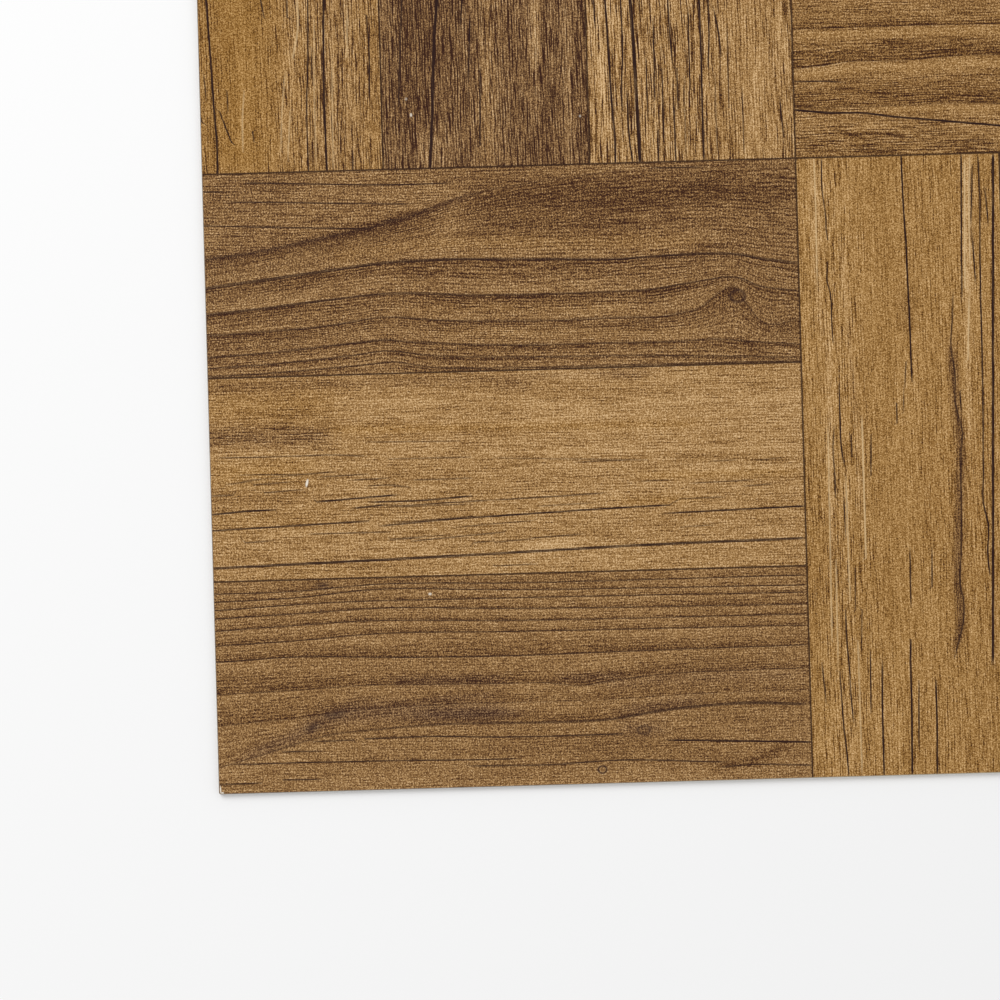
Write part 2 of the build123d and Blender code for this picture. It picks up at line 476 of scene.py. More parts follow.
# Marks, photo pixels: centre, half length and half width, turn in degrees, strength
PALE_SPECKS_AND_CORNER_HIGHLIGHT = [
    ((307, 483), (1.3, 4.2), -15, 0.95),
    ((411, 115), (1.2, 1.9), 0, 0.7),
    ((406, 99), (1.4, 1.6), 0, 0.3),
    ((430, 594), (1.8, 1.4), 0, 0.7),
    ((580, 116), (1.2, 1.4), 0, 0.4),
    # The last two: a pale L at the near left corner, a painted highlight where the rolled edge catches the
    # light
    ((220.6, 790), (0.7, 4.2), 0, 0.9),
    ((222.5, 793.3), (1.6, 1.3), 0, 0.9),
]
DARK_MARKS = [
    ((334.6, 714.8), (14, 5), 8, 0.65),
    ((313, 727.5), (10, 5.5), 20, 0.65),
    ((323, 585.5), (9, 4), 3, 0.6),
    ((321, 610), (1.5, 1.5), 0, 0.8),
]
KNOTS = [
    ((737.5, 296), (9.0, 7.5), 0, 0.68),
    ((602.5, 769.6), (5.2, 4.4), 0, 0.9),
    ((644, 730), (7.5, 5.0), 0, 0.6),
]


def from_photo(points):
    """Photo pixels to millimetres on the tile: moved to the near left corner, turned back and scaled."""
    across, down = (np.array(points, float) - CORNER_PIXEL).T / PIXELS
    x = across * math.cos(TURN) - down * math.sin(TURN) - HALF
    y = -across * math.sin(TURN) - down * math.cos(TURN) - HALF
    return np.stack([x, y])


def run_on(points, length):
    """The points of a line, with one more beyond each end that the photo's border cuts off."""
    points = np.array(points, float)
    for end, inner in ((0, 1), (-1, -2)):
        x, y = points[end]
        if x > BORDER_RIGHT or y < BORDER_TOP:
            step = points[end] - points[inner]
            extra = points[end] + step * length / np.hypot(*step)
            points = np.insert(points, 0 if end == 0 else len(points), extra, axis=0)
    return points


def trace(points, along, length=0):
    """A line's places along and across the grain in millimetres, in order along the grain."""
    xy = from_photo(run_on(points, length) if length else points)
    order = np.argsort(xy[along])
    return xy[along][order], xy[1 - along][order]


def follow(line, s):
    """Where a line lies across the grain at the lengths s.

    A cubic runs between each two points with the mean slope of its neighbours, and it goes straight on
    past both ends. Returns the place, the slope, how far s is inside the line's ends, and its share of
    the length.
    """
    u, v = line
    slope = np.gradient(v, u)
    k = np.clip(np.searchsorted(u, s) - 1, 0, len(u) - 2)
    h = u[k + 1] - u[k]
    x = np.clip((s - u[k]) / h, 0, 1)
    a, b, ma, mb = v[k], v[k + 1], slope[k] * h, slope[k + 1] * h
    place = a + x * ma + x**2 * (3 * (b - a) - 2 * ma - mb) + x**3 * (2 * (a - b) + ma + mb)
    place += slope[0] * np.minimum(s - u[0], 0) + slope[-1] * np.maximum(s - u[-1], 0)
    steep = (ma + 2 * x * (3 * (b - a) - 2 * ma - mb) + 3 * x**2 * (2 * (a - b) + ma + mb)) / h
    share = np.clip((s - u[0]) / (u[-1] - u[0]), 0, 1)
    return place, steep, np.minimum(s - u[0], u[-1] - s), share


def plain_lines(low, high, start, end):
    """Grain lines for a length of finger that the photo doesn't show: nearly straight, at seeded places.

    Each has its width in pixels, its ink and three points.
    """
    made = []
    for _ in range(int((high - low) * (end - start) / PLAIN_AREA)):
        s0 = rng.uniform(start, end - PLAIN_LENGTH[0])
        s1 = min(s0 + rng.uniform(*PLAIN_LENGTH), end)
        t = rng.uniform(low + PLAIN_CLEAR, high - PLAIN_CLEAR) + np.cumsum(rng.normal(0, PLAIN_SWAY, 3))
        strong = rng.uniform() < PLAIN_STRONG
        made.append((2.0 if strong else 1.5, 0.95 if strong else 0.7, (np.linspace(s0, s1, 3), t)))
    return made


def stitch(left, right, at_left, at_right):
    """Triangles between two rows of vertices, left and right, that run the same way at unlike steps.

    Both rows' places are merged in order, and each step forward on one row makes one triangle.
    """
    place = np.concatenate([at_left[1:], at_right[1:]])
    from_left = np.arange(len(place)) < len(at_left) - 1
    order = np.argsort(place, kind="stable")
    on_left = from_left[order]
    i = np.cumsum(on_left)
    j = np.cumsum(~on_left)
    step = np.where(on_left, left[i], right[j])
    return np.stack([left[i - on_left], right[j - ~on_left], step], 1)


# Grid of the print: one sheet for each block, finger edges on grid lines
def finger_steps(joints):
    """Grid lines across the grain: even steps in each finger, half a joint left free at both sides."""
    gap = JOINT_WIDTH / 2
    parts = []
    for low, high in zip(joints[:-1], joints[1:]):
        a = low + (gap if low > -HALF else CORNER_RADIUS)
        b = high - (gap if high < HALF else CORNER_RADIUS)
        parts.append(np.linspace(a, b, 2 + int((b - a) / COLUMN)))
    return np.concatenate(parts)


def length_steps(ends, close_to=()):
    """Grid lines along the grain: even steps, with closer ones about the knots."""
    gap = JOINT_WIDTH / 2
    a = ends[0] + (gap if ends[0] > -HALF else CORNER_RADIUS)
    b = ends[1] - (gap if ends[1] < HALF else CORNER_RADIUS)
    extra = [np.linspace(c - KNOT_REACH, c + KNOT_REACH, KNOT_STEPS) for c in close_to]
    extra += [a + np.array(END_STEPS), b - np.array(END_STEPS)]
    return np.unique(np.concatenate([np.linspace(a, b, 2 + int((b - a) / ROW)), *extra]).round(4))


verts, owner, quads, tris = [], [], [], []
sheets = {}
count = 0
for block, (xs, ys, along) in BLOCKS.items():
    knot_places = [from_photo([KNOTS[0][0]])[0, 0]] if block == "near_left" else []
    gx = length_steps(xs, knot_places) if along == 0 else finger_steps(xs)
    gy = length_steps(ys) if along == 1 else finger_steps(ys)
    x, y = np.meshgrid(gx, gy, indexing="ij")
    index = count + np.arange(x.size).reshape(x.shape)
    count += x.size
    joints = np.array((xs, ys)[1 - along])
    finger = np.searchsorted(joints, (x, y)[1 - along].ravel()) - 1
    first = [f[0] for f in FINGERS].index(block)
    verts.append(np.stack([x.ravel(), y.ravel(), np.full(x.size, THICK)], 1))
    owner.append(first + finger)
    corners = [index[:-1, :-1], index[1:, :-1], index[1:, 1:], index[:-1, 1:]]
    quads.append(np.stack(corners, -1).reshape(-1, 4))
    sheets[block] = (index, gx, gy)

# Joints between the blocks
nl, nr, fl, fr = (sheets[k] for k in ("near_left", "near_right", "far_left", "far_right"))
tris.append(stitch(nl[0][-1], nr[0][0], nl[2], nr[2]))
tris.append(stitch(fl[0][-1], fr[0][0], fl[2], fr[2]))
tris.append(stitch(fl[0][:, 0], nl[0][:, -1], fl[1], nl[1]))
tris.append(stitch(fr[0][:, 0], nr[0][:, -1], fr[1], nr[1]))
quads.append(np.array([[nl[0][-1, -1], nr[0][0, -1], fr[0][0, 0], fl[0][-1, 0]]]))

# Rim: the border of the print is pushed outward in rings, corners turned in steps. The roll-over is a
# quarter circle: out by the sine of its turn and down by one less the cosine. Then straight down.
border = [
    np.concatenate([nl[0][:, 0], nr[0][:, 0]]),
    np.concatenate([nr[0][-1], fr[0][-1]]),
    np.concatenate([fr[0][::-1, -1], fl[0][::-1, -1]]),
    np.concatenate([fl[0][0, ::-1], nl[0][0, ::-1]]),
]
base, heading = [], []
for k, side in enumerate(border):
    turn = np.linspace(0, math.pi / 2, CORNER_STEPS + 2)[1:-1]
    base += [side, np.full(CORNER_STEPS, side[-1])]
    heading += [np.full(len(side), (k - 1) * math.pi / 2), (k - 1) * math.pi / 2 + turn]
base, heading = np.concatenate(base), np.concatenate(heading)
face_xy, face_owner = np.concatenate(verts), np.concatenate(owner)
roll = np.linspace(0, math.pi / 2, ROLL_STEPS + 1)
flat = CORNER_RADIUS - ROLL_OVER
ring_out = np.concatenate([flat + ROLL_OVER * np.sin(roll), [CORNER_RADIUS]])
ring_up = np.concatenate([THICK - ROLL_OVER * (1 - np.cos(roll)), [0.0]])
rings = [base]
for out, up in zip(ring_out, ring_up):
    x = face_xy[base, 0] + out * np.cos(heading)
    y = face_xy[base, 1] + out * np.sin(heading)
    verts.append(np.stack([x, y, np.full(len(base), up)], 1))
    owner.append(face_owner[base])
    rings.append(count + np.arange(len(base)))
    count += len(base)
verts.append(np.zeros((1, 3)))
owner.append(np.zeros(1, int))
strip = []
for inner, outer in zip(rings[:-1], rings[1:]):
    strip.append(np.stack([inner, outer, np.roll(outer, -1), np.roll(inner, -1)], 1))
open_corner = strip[0][:, 0] == strip[0][:, 3]
tris.append(strip[0][open_corner, :3])
quads.append(strip[0][~open_corner])
print_quads = sum(map(len, quads))
quads += strip[1:]
edge_quads = sum(map(len, quads)) - print_quads
tris.append(np.stack([np.roll(rings[-1], -1), rings[-1], np.full(len(base), count)], 1))
back_tris = len(base)
verts, owner = np.concatenate(verts), np.concatenate(owner)
quads, tris = np.concatenate(quads), np.concatenate(tris)

# Fields of the print at every vertex
total = len(verts)
tone, warmth, pores, linen = (np.zeros(total) for _ in range(4))
grain = np.zeros((total, 3))
growth = np.zeros((total, 3))
ink = np.zeros((3, total, 3))
for number, printed in enumerate(FINGERS):
    block, place, level, warm, pore, tick, dark_side, year_rings, lines, streaks = printed
    mine = np.flatnonzero(owner == number)
    xs, ys, along = BLOCKS[block]
    low, high = (xs, ys)[1 - along][place : place + 2]
    start, end = (xs, ys)[along]
    s, t = verts[mine, along], verts[mine, 1 - along]
    tone[mine], warmth[mine], pores[mine], linen[mine] = level, warm, pore, tick
    grain[mine] = np.stack([s, t, np.full(len(mine), FINGER_SHIFT * number)], 1)
    for half_width, tone_change, warmth_change, pore_change, points in streaks:
        where, _, inside, _ = follow(trace(points, along, STREAK_RUN_ON), s)
        strength = np.exp(-(((t - where) / (half_width / PIXELS)) ** 2))
        strength *= np.clip(inside / STREAK_FADE + 0.5, 0, 1)
        tone[mine] += tone_change * strength
        warmth[mine] += warmth_change * strength
        pores[mine] += pore_change * strength
    drawn = []
    for width, dark, points in lines:
        drawn.append((width, dark, follow(trace(points, along, rng.uniform(*LINE_RUN_ON)), s)))
    seen = from_photo([(BORDER_RIGHT, BORDER_TOP)])[:, 0]
    unseen_from = start if high > seen[1 - along] + SEEN_MARGIN else seen[along]
    if unseen_from < end:
        for width, dark, line in plain_lines(low, high, unseen_from, end):
            drawn.append((width, dark, follow(line, s)))
    if year_rings:
        # Phase counts the rings: it is whole on each line and climbs evenly from one line to the next
        u = dark_side * t
        traced = [follow(trace(r[3], along, RING_RUN_ON), s) for r in year_rings]
        lanes = np.array([dark_side * f[0] for f in traced])
        phase = np.clip(1 - (lanes[0] - u) / FIRST_RING, 0.002, 1)
        shares = np.array([f[3] for f in traced])
        depths = np.array([r[0][0] + (r[0][1] - r[0][0]) * a for r, a in zip(year_rings, shares)])
        depth = np.where(u <= lanes[0], depths[0], 0)
        flow = np.minimum(u - lanes[0], 0)
        for k in range(1, len(lanes)):
            space = np.maximum(lanes[k] - lanes[k - 1], 0.3)
            part = np.clip((u - lanes[k - 1]) / space, 0, 1)
            phase += part
            within = (u > lanes[k - 1]) & (u <= lanes[k])
            depth = np.where(within, depths[k], depth)
            flow += part * space.mean()
        # Just past a whole number: beyond the last ring there is no shade, and the grain runs straight
        phase += 0.002 + np.clip((u - lanes[-1]) / 200, 0, 0.5)
        flow = np.where(u > lanes[-1], u, flow)
        growth[mine, 0] = phase
        growth[mine, 1] = depth
        grain[mine, 1] = dark_side * flow
        for (_, width, dark, _), f, a in zip(year_rings, traced, shares):
            drawn.append((width[0] + (width[1] - width[0]) * a, dark[0] + (dark[1] - dark[0]) * a, f))
    # Each line goes to a channel where no other line is near it
    taken = [np.full(len(mine), FAR_OFF) for _ in range(3)]
    for width, dark, (where, steep, inside, _) in drawn:
        off = (t - where) / np.sqrt(1 + steep**2)
        near = (np.abs(off) < REACH) & (inside > -LINE_TIP)
        free = [np.abs(held[near]).min(initial=FAR_OFF) for held in taken]
        c = int(np.argmax(np.array(free) > 2 * REACH)) if max(free) > 2 * REACH else int(np.argmax(free))
        closer = (np.abs(off) < np.abs(taken[c])) & (inside > -LINE_TIP)
        taken[c] = np.where(closer, off, taken[c])
        fade = np.clip(inside / LINE_FADE + 0.6, 0, 1) * near
        slot = ink[c, mine]
        slot[closer] = np.stack([off, near * width / PIXELS / 2, dark * fade], 1)[closer]
        ink[c, mine] = slot

# Distance to the nearest joint
x, y = verts[:, 0], verts[:, 1]
joint = np.full(total, FAR_OFF)
for block, (xs, ys, along) in BLOCKS.items():
    first = [f[0] for f in FINGERS].index(block)
    here = (owner >= first) & (owner < first + 3)
    across = (x, y)[1 - along]
    for seam in (xs, ys)[1 - along]:
        if abs(seam) < HALF:
            joint = np.where(here, np.minimum(joint, np.abs(across - seam)), joint)
    for seam in (xs, ys)[along]:
        if abs(seam) < HALF:
            joint = np.where(here, np.minimum(joint, np.abs((x, y)[along] - seam)), joint)
wear = np.clip((x - WEAR_START) / WEAR_RISE, 0, 1) * (y < -HALF + WEAR_BAND)

# Mesh
me = bpy.data.meshes.new("vinyl_tile_print")
me.from_pydata((verts * MM).tolist(), [], quads.tolist() + tris.tolist())
plain = {"tone": tone, "warmth": warmth, "pores": pores, "linen": linen, "joint": joint, "wear": wear}
for name, values in plain.items():
    field = me.attributes.new(name, "FLOAT", "POINT")
    field.data.foreach_set("value", values.astype(np.float32))
triple = {"grain": grain, "growth": growth, "line_1": ink[0], "line_2": ink[1], "line_3": ink[2]}
for name, values in triple.items():
    field = me.attributes.new(name, "FLOAT_VECTOR", "POINT")
    field.data.foreach_set("vector", values.astype(np.float32).ravel())
kind = np.zeros(len(quads) + len(tris), np.int32)
kind[print_quads : print_quads + edge_quads] = 1
kind[len(kind) - back_tris :] = 2
smooth = np.zeros(len(kind), bool)
smooth[print_quads : print_quads + edge_quads - len(base)] = True
tile = bpy.data.objects.new("vinyl_tile_finish", me)
bpy.context.scene.collection.objects.link(tile)


# Materials
def linear(code):
    """An sRGB hex colour as linear red, green, blue and full alpha."""
    c = np.array([int(code[i : i + 2], 16) for i in (1, 3, 5)]) / 255
    c = np.where(c <= 0.04045, c / 12.92, ((c + 0.055) / 1.055) ** 2.4)
    return (*c.tolist(), 1.0)


def add(tree, kind, inputs, **settings):
    """Adds a node, sets its properties, and links or sets each input that is named or numbered."""
    made = tree.nodes.new(kind)
    for key, value in settings.items():
        setattr(made, key, value)
    for key, value in inputs.items():
        if isinstance(value, bpy.types.Node):
            value = value.outputs[0]
        if isinstance(value, bpy.types.NodeSocket):
            tree.links.new(value, made.inputs[key])
        else:
            made.inputs[key].default_value = value
    return made


def new_material(name):
    """A material with an empty node tree and its output."""
    mat = bpy.data.materials.new(name)
    mat.use_nodes = True
    mat.node_tree.nodes.clear()
    return mat, mat.node_tree, mat.node_tree.nodes.new("ShaderNodeOutputMaterial")


MATH, MAP, NOISE = "ShaderNodeMath", "ShaderNodeMapping", "ShaderNodeTexNoise"
ATTR, RANGE = "ShaderNodeAttribute", "ShaderNodeMapRange"
MIX, VECTOR = "ShaderNodeMix", "ShaderNodeVectorMath"

# Sizes of the print's patterns, mm: length along the grain and width across it
WANDER_SIZE, WANDER = (25.0, 9.0), 1.2  # and how far the grain is moved across, end to end
DASH_SIZE = (1.2, 0.21)
PORE_SIZE = (7.0, 0.3)
FIBRE_SIZE = (12.0, 1.1)
MOTTLE_SIZE = (40.0, 4.0)
PATCH_SIZE = (3.0, 3.0)
SPECKLE_SIZE = 0.28
LINEN_PITCH = 0.7  # ribs and ticks of the embossing
SLIDE = 11.0  # along the grain for each mm across it
FILLER_SIZE, CLOUD_SIZE = 0.4, 4.0  # grains in the cut edge, clouds in the paper
EMBOSS_DEPTH, FILLER_DEPTH = 0.1, 0.05

# Rotogravure wood print under a clear satin PVC wear layer: brown figure, dark pores and lines, soft sheen
print_mat, nt, out = new_material("gravure_wood_print_pvc")
a_grain = add(nt, ATTR, {}, attribute_name="grain")
a_growth = add(nt, ATTR, {}, attribute_name="growth")
a_tone = add(nt, ATTR, {}, attribute_name="tone")
a_warmth = add(nt, ATTR, {}, attribute_name="warmth")
a_pores = add(nt, ATTR, {}, attribute_name="pores")
a_linen = add(nt, ATTR, {}, attribute_name="linen")
a_joint = add(nt, ATTR, {}, attribute_name="joint")

# The grain wanders a little, with finer wiggles in it
m = add(nt, MAP, {"Vector": a_grain.outputs["Vector"], "Scale": (1 / WANDER_SIZE[0], 1 / WANDER_SIZE[1], 1)})
wander = add(nt, NOISE, {"Vector": m, "Scale": 1, "Detail": 2})
wander = add(nt, MAP, {"Vector": wander.outputs["Color"], "Location": (0, -WANDER / 2, 0),
                       "Scale": (0, WANDER, 0)})
flow = add(nt, VECTOR, {0: a_grain.outputs["Vector"], 1: wander}, operation="ADD")

# Slid along the grain, so that neighbouring streaks don't end together
spot = add(nt, "ShaderNodeSeparateXYZ", {0: flow})
slid = add(nt, MATH, {0: spot.outputs[1], 1: SLIDE, 2: spot.outputs[0]}, operation="MULTIPLY_ADD")
slid = add(nt, "ShaderNodeCombineXYZ", {0: slid, 1: spot.outputs[1], 2: spot.outputs[2]})

# Noises of the grain
m = add(nt, MAP, {"Vector": slid, "Scale": (1 / DASH_SIZE[0], 1 / DASH_SIZE[1], 1), "Location": (9, 4, 0)})
dash = add(nt, NOISE, {"Vector": m, "Scale": 1, "Detail": 0})
m = add(nt, MAP, {"Vector": slid, "Scale": (1 / PORE_SIZE[0], 1 / PORE_SIZE[1], 1)})
pore = add(nt, NOISE, {"Vector": m, "Scale": 1, "Detail": 0})
m = add(nt, MAP, {"Vector": slid, "Scale": (1 / FIBRE_SIZE[0], 1 / FIBRE_SIZE[1], 1)})
fibre = add(nt, NOISE, {"Vector": m, "Scale": 1, "Detail": 1})
m = add(nt, MAP, {"Vector": flow, "Scale": (1 / MOTTLE_SIZE[0], 1 / MOTTLE_SIZE[1], 1),
                  "Location": (3, 5, 0)})
mottle = add(nt, NOISE, {"Vector": m, "Scale": 1, "Detail": 1})
m = add(nt, MAP, {"Vector": flow, "Scale": (1 / PATCH_SIZE[0], 1 / PATCH_SIZE[1], 1)})
patch = add(nt, NOISE, {"Vector": m, "Scale": 1, "Detail": 1})
place = add(nt, "ShaderNodeTexCoord", {}).outputs["Object"]
speckle = add(nt, NOISE, {"Vector": place, "Scale": 1 / (SPECKLE_SIZE * MM), "Detail": 0})

# Embossed linen: fine ribs along the grain and ticks across it, strong in some places. In the tone they are
# painted shade and highlight of the embossing, and through the bump also relief
weave = []
for along_or_across, drift in ((1, 1.1), (0, 1.6)):
    turns = add(nt, MATH, {0: spot.outputs[along_or_across], 1: 1 / LINEN_PITCH}, operation="MULTIPLY")
    turns = add(nt, MATH, {0: patch, 1: drift, 2: turns}, operation="MULTIPLY_ADD")
    turns = add(nt, MATH, {0: turns, 1: 2 * math.pi}, operation="MULTIPLY")
    weave.append(add(nt, MATH, {0: turns}, operation="SINE"))
strong = add(nt, RANGE, {"Value": fibre, "From Min": 0.3, "From Max": 0.7, "To Min": 0.03, "To Max": 0.16})
rib = add(nt, MATH, {0: weave[0], 1: strong}, operation="MULTIPLY")
strong = add(nt, RANGE, {"Value": dash, "From Min": 0.3, "From Max": 0.7, "To Min": 0.07, "To Max": 0.0})
tick = add(nt, MATH, {0: weave[1], 1: strong}, operation="MULTIPLY")
# Pale flecks on the embossing: painted glints
painted_glint = add(nt, RANGE, {"Value": speckle, "From Min": 0.58, "From Max": 0.78, "To Min": 0.0, "To Max": 0.1})
tick = add(nt, MATH, {0: tick, 1: painted_glint}, operation="ADD")
tick = add(nt, MATH, {0: weave[0], 1: 0.035, 2: tick}, operation="MULTIPLY_ADD")

# Shade of the year rings: rises towards each line and stops there
g = add(nt, "ShaderNodeSeparateXYZ", {0: a_growth.outputs["Vector"]})
part = add(nt, MATH, {0: g.outputs[0]}, operation="FRACT")
shade = add(nt, MATH, {0: part, 1: 1.8}, operation="POWER")
shade = add(nt, MATH, {0: shade, 1: g.outputs[1]}, operation="MULTIPLY")

# Tone, summed up
pore_part = add(nt, RANGE, {"Value": pore, "From Min": 0.54, "From Max": 0.68,
                            "To Min": 0.088, "To Max": -0.392})
dash_part = add(nt, RANGE, {"Value": dash, "From Min": 0.25, "From Max": 0.75,
                            "To Min": 0.2, "To Max": -0.2})
dash_part = add(nt, MATH, {0: dash_part, 1: pore_part}, operation="ADD")
dash_part = add(nt, MATH, {0: dash_part, 1: rib}, operation="ADD")
fibre_part = add(nt, RANGE, {"Value": fibre, "From Min": 0.25, "From Max": 0.75,
                             "To Min": -0.025, "To Max": 0.025})
mottle_part = add(nt, RANGE, {"Value": mottle, "From Min": 0.25, "From Max": 0.75,
                              "To Min": -0.03, "To Max": 0.03})
speckle_part = add(nt, RANGE, {"Value": speckle, "From Min": 0.25, "From Max": 0.75,
                               "To Min": -0.155, "To Max": 0.155})
value = add(nt, MATH, {0: a_tone.outputs["Fac"], 1: shade}, operation="SUBTRACT")
# Pores are denser where a year ring is dark
porous = add(nt, MATH, {0: shade, 1: 0.9, 2: a_pores.outputs["Fac"]}, operation="MULTIPLY_ADD")
value = add(nt, MATH, {0: dash_part, 1: porous, 2: value}, operation="MULTIPLY_ADD")
value = add(nt, MATH, {0: tick, 1: a_linen.outputs["Fac"], 2: value}, operation="MULTIPLY_ADD")
value = add(nt, MATH, {0: value, 1: fibre_part}, operation="ADD")
value = add(nt, MATH, {0: value, 1: mottle_part}, operation="ADD")
value = add(nt, MATH, {0: value, 1: speckle_part}, operation="ADD")

# Tone to colour: tan wood and umber wood, from dark to light
TAN = ((40, "#361709"), (60, "#53320f"), (80, "#714c20"), (100, "#8a6331"),
       (120, "#a07743"), (140, "#b48c57"), (160, "#c8a06b"), (190, "#e3be8d"))
UMBER = ((40, "#341709"), (60, "#4f3320"), (80, "#674a33"), (100, "#80603e"),
         (120, "#977550"), (140, "#af8b62"), (160, "#c2a076"), (190, "#dcbe96"))
woods = []
for stops in (UMBER, TAN):
    ramp = add(nt, "ShaderNodeValToRGB", {0: value})
    while len(ramp.color_ramp.elements) < len(stops):
        ramp.color_ramp.elements.new(0.5)
    for element, (level, code) in zip(ramp.color_ramp.elements, stops):
        element.position = level / 255
        element.color = linear(code)
    woods.append(ramp)
colour = add(nt, MIX, {0: a_warmth.outputs["Fac"], 6: woods[0], 7: woods[1]}, data_type="RGBA",
             clamp_factor=False).outputs[2]

# Printed lines and joints: near-black brown ink with a ragged edge. Ink below 0 makes a cream line.
ragged = add(nt, RANGE, {"Value": dash, "From Min": 0.25, "From Max": 0.75,
                         "To Min": -0.04, "To Max": 0.04})
broken = add(nt, RANGE, {"Value": pore, "From Min": 0.3, "From Max": 0.6, "To Min": 0.72, "To Max": 1.0})
for name in ("line_1", "line_2", "line_3"):
    held = add(nt, ATTR, {}, attribute_name=name)
    held = add(nt, "ShaderNodeSeparateXYZ", {0: held.outputs["Vector"]})
    off = add(nt, MATH, {0: held.outputs[0]}, operation="ABSOLUTE")
    off = add(nt, MATH, {0: held.outputs[1], 1: off}, operation="SUBTRACT")
    off = add(nt, MATH, {0: off, 1: ragged}, operation="ADD")
    mask = add(nt, RANGE, {"Value": off, "From Min": -0.07, "From Max": 0.05, "To Min": 0.0, "To Max": 1.0})
    mask = add(nt, MATH, {0: mask, 1: held.outputs[2]}, operation="MULTIPLY")
    dark = add(nt, MATH, {0: mask, 1: broken}, operation="MULTIPLY", use_clamp=True)
    colour = add(nt, MIX, {0: dark, 6: colour, 7: linear("#2a130e")}, data_type="RGBA").outputs[2]
    light = add(nt, MATH, {0: mask, 1: -1.0}, operation="MULTIPLY", use_clamp=True)
    colour = add(nt, MIX, {0: light, 6: colour, 7: linear("#d8b98a")}, data_type="RGBA").outputs[2]
off = add(nt, MATH, {0: ragged, 1: a_joint.outputs["Fac"]}, operation="SUBTRACT")
mask = add(nt, RANGE, {"Value": off, "From Min": -0.27, "From Max": -0.19, "To Min": 0.0, "To Max": 0.86})
colour = add(nt, MIX, {0: mask, 6: colour, 7: linear("#2a1105")}, data_type="RGBA").outputs[2]

# Knots, smudges, pale chips, and the painted highlight at the near left corner
for marks, code, hollow, soft in ((KNOTS, "#331c16", True, 0.0), (DARK_MARKS, "#33201e", False, 0.1),
                                  (PALE_SPECKS_AND_CORNER_HIGHLIGHT, "#efe6d6", False, 0.6)):
    for centre, (half_x, half_y), turned, strength in marks:
        x0, y0 = from_photo([centre])[:, 0] * MM
        size = (half_x / PIXELS * MM, half_y / PIXELS * MM, 1.0)
        spin = (0.0, 0.0, math.radians(turned) + TURN)
        spot = (x0, y0, THICK * MM)
        local = add(nt, MAP, {"Vector": place, "Location": spot, "Rotation": spin, "Scale": size},
                    vector_type="TEXTURE")
        far = add(nt, VECTOR, {0: local}, operation="LENGTH").outputs["Value"]
        far = add(nt, MATH, {0: ragged, 1: 1.2, 2: far}, operation="MULTIPLY_ADD")
        if hollow:
            far = add(nt, MATH, {0: far, 1: 0.8}, operation="SUBTRACT")
            far = add(nt, MATH, {0: far}, operation="ABSOLUTE")
        near, gone = (0.05, 0.32) if hollow else (soft, 1.2)
        mask = add(nt, RANGE, {"Value": far, "From Min": near, "From Max": gone, "To Min": strength,
                               "To Max": 0.0})
        colour = add(nt, MIX, {0: mask, 6: colour, 7: linear(code)}, data_type="RGBA").outputs[2]

bump = add(nt, "ShaderNodeBump", {"Height": value, "Strength": 0.15, "Distance": EMBOSS_DEPTH * MM})
satin = add(nt, RANGE, {"Value": speckle, "From Min": 0.3, "From Max": 0.7, "To Min": 0.42, "To Max": 0.54})
surface = add(nt, "ShaderNodeBsdfPrincipled", {"Base Color": colour, "Roughness": satin, "IOR": 1.53,
                                               "Normal": bump, "Specular IOR Level": 0.12})
nt.links.new(surface.outputs[0], out.inputs["Surface"])

# Limestone-filled PVC, punched: beige grey with fine filler grains, rubbed pale along the near edge
edge_mat, nt, out = new_material("filled_pvc_cut_edge")
place = add(nt, "ShaderNodeTexCoord", {}).outputs["Object"]
filler = add(nt, NOISE, {"Vector": place, "Scale": 1 / (FILLER_SIZE * MM), "Detail": 2})
rubbed = add(nt, ATTR, {}, attribute_name="wear").outputs["Fac"]
core = add(nt, "ShaderNodeValToRGB", {0: filler})
for element, at, code in zip(core.color_ramp.elements, (0.3, 0.7), ("#6b5a48", "#857460")):
    element.position = at
    element.color = linear(code)
tinted = add(nt, MIX, {0: rubbed, 6: core, 7: linear("#b9a888")}, data_type="RGBA").outputs[2]
bump = add(nt, "ShaderNodeBump", {"Height": filler, "Strength": 0.3, "Distance": FILLER_DEPTH * MM})
surface = add(nt, "ShaderNodeBsdfPrincipled", {"Base Color": tinted, "Roughness": 0.6, "IOR": 1.53,
                                               "Normal": bump})
nt.links.new(surface.outputs[0], out.inputs["Surface"])

# Siliconed release paper: plain off-white with cloudy fibres and a slight sheen
paper_mat, nt, out = new_material("siliconed_release_paper")
place = add(nt, "ShaderNodeTexCoord", {}).outputs["Object"]
cloud = add(nt, NOISE, {"Vector": place, "Scale": 1 / (CLOUD_SIZE * MM), "Detail": 4})
sheet = add(nt, "ShaderNodeValToRGB", {0: cloud})
for element, at, code in zip(sheet.color_ramp.elements, (0.25, 0.75), ("#dfdbcf", "#efece2")):
    element.position = at
    element.color = linear(code)
surface = add(nt, "ShaderNodeBsdfPrincipled", {"Base Color": sheet, "Roughness": 0.5, "IOR": 1.45})
nt.links.new(surface.outputs[0], out.inputs["Surface"])

for mat in (print_mat, edge_mat, paper_mat):
    me.materials.append(mat)
me.polygons.foreach_set("material_index", kind)
me.polygons.foreach_set("use_smooth", smooth)
me.update()
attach(tile, "root")
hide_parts("vinyl_tile")

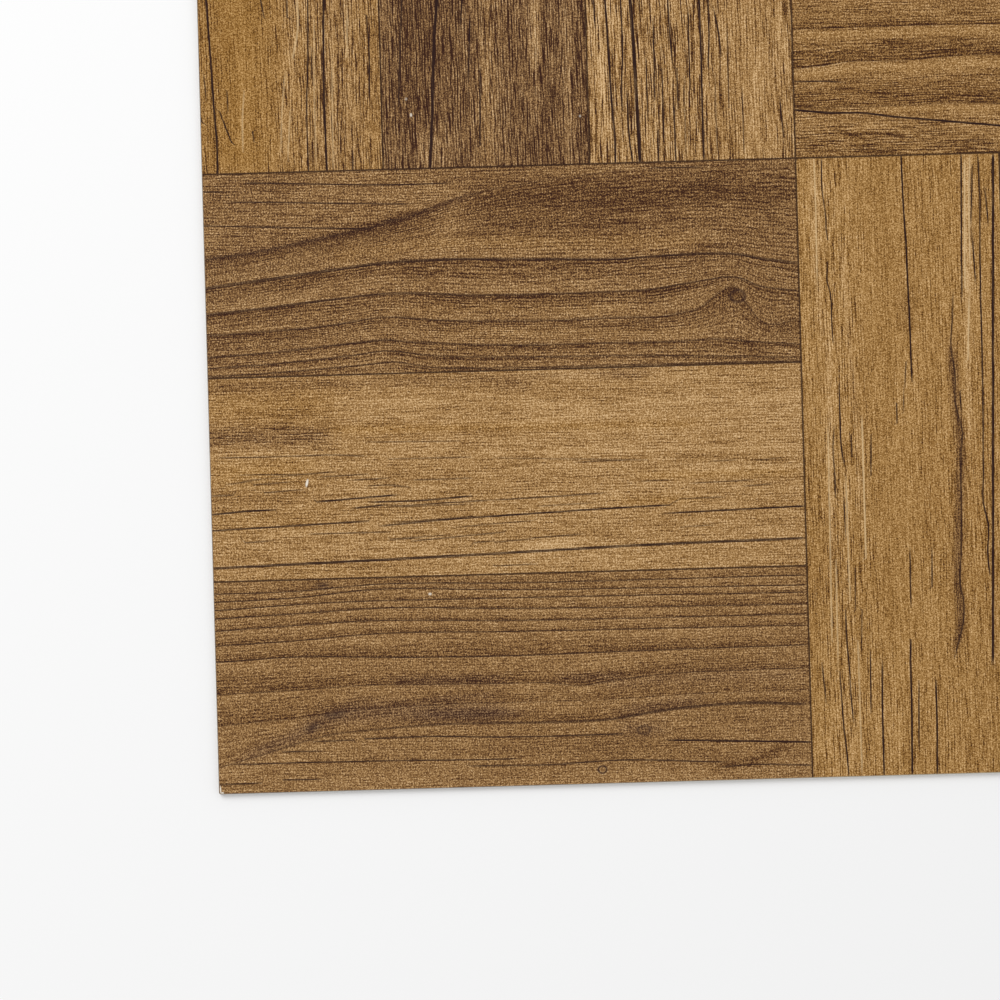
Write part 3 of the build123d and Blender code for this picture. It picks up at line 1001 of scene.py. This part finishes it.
# Floor: plain white paper sweep, see-through from below and to bounced light, so that the back shows
FLOOR_REACH = 4.0  # m
FLOOR_DROP = 0.2 * MM
floor_me = bpy.data.meshes.new("floor")
ends = ((-1, -1), (1, -1), (1, 1), (-1, 1))
floor_me.from_pydata([(FLOOR_REACH * a, FLOOR_REACH * b, -FLOOR_DROP) for a, b in ends], [], [(0, 1, 2, 3)])
floor = bpy.data.objects.new("floor", floor_me)
bpy.context.scene.collection.objects.link(floor)
floor_mat, nt, out = new_material("white_backdrop_paper")
side = add(nt, "ShaderNodeNewGeometry", {})
paper = add(nt, "ShaderNodeBsdfDiffuse", {"Color": linear("#fbfbfb")})
clear = add(nt, "ShaderNodeBsdfTransparent", {})
path = add(nt, "ShaderNodeLightPath", {})
seen = add(nt, "ShaderNodeMixShader", {0: path.outputs["Is Camera Ray"], 1: clear, 2: paper})
both = add(nt, "ShaderNodeMixShader", {0: side.outputs["Backfacing"], 1: seen, 2: clear})
nt.links.new(both.outputs[0], out.inputs["Surface"])
floor_me.materials.append(floor_mat)
floor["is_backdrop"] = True

# Light: even white surround and one large soft lamp from the far left
world = bpy.data.worlds.new("surround")
world.use_nodes = True
nt = world.node_tree
nt.nodes.clear()
path = add(nt, "ShaderNodeLightPath", {})
dim = add(nt, "ShaderNodeBackground", {"Color": (1, 1, 1, 1), "Strength": 0.65})
white = add(nt, "ShaderNodeBackground", {"Color": (1, 1, 1, 1), "Strength": 1.0})
both = add(nt, "ShaderNodeMixShader", {0: path.outputs["Is Camera Ray"], 1: dim, 2: white})
nt.links.new(both.outputs[0], nt.nodes.new("ShaderNodeOutputWorld").inputs["Surface"])
bpy.context.scene.world = world
LAMP_SIDE, LAMP_WATTS, LAMP_PLACE = 1.2, 17.7, (-1.0, 0.9, 1.3)
lamp = bpy.data.lights.new("soft_box", "AREA")
lamp.shape, lamp.size, lamp.energy = "SQUARE", LAMP_SIDE, LAMP_WATTS
soft_box = bpy.data.objects.new("soft_box", lamp)
soft_box.location = LAMP_PLACE
soft_box.rotation_euler = (-soft_box.location).to_track_quat("-Z", "Y").to_euler()
bpy.context.scene.collection.objects.link(soft_box)

# Camera: straight above, as far as a long lens needs for the photo's width
cam = bpy.data.cameras.new("camera")
cam.lens, cam.sensor_width = 200, 36  # mm
camera = bpy.data.objects.new("camera", cam)
view_x, view_y = from_photo([(VIEW_PIXELS / 2, VIEW_PIXELS / 2)])[:, 0] * MM
camera.location = (view_x, view_y, VIEW_PIXELS / PIXELS * MM * cam.lens / cam.sensor_width + THICK * MM)
camera.rotation_euler = (0, 0, -TURN)
cam.clip_end = 20
bpy.context.scene.collection.objects.link(camera)
bpy.context.scene.camera = camera
bpy.context.scene.view_settings.view_transform = "Standard"

low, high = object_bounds()
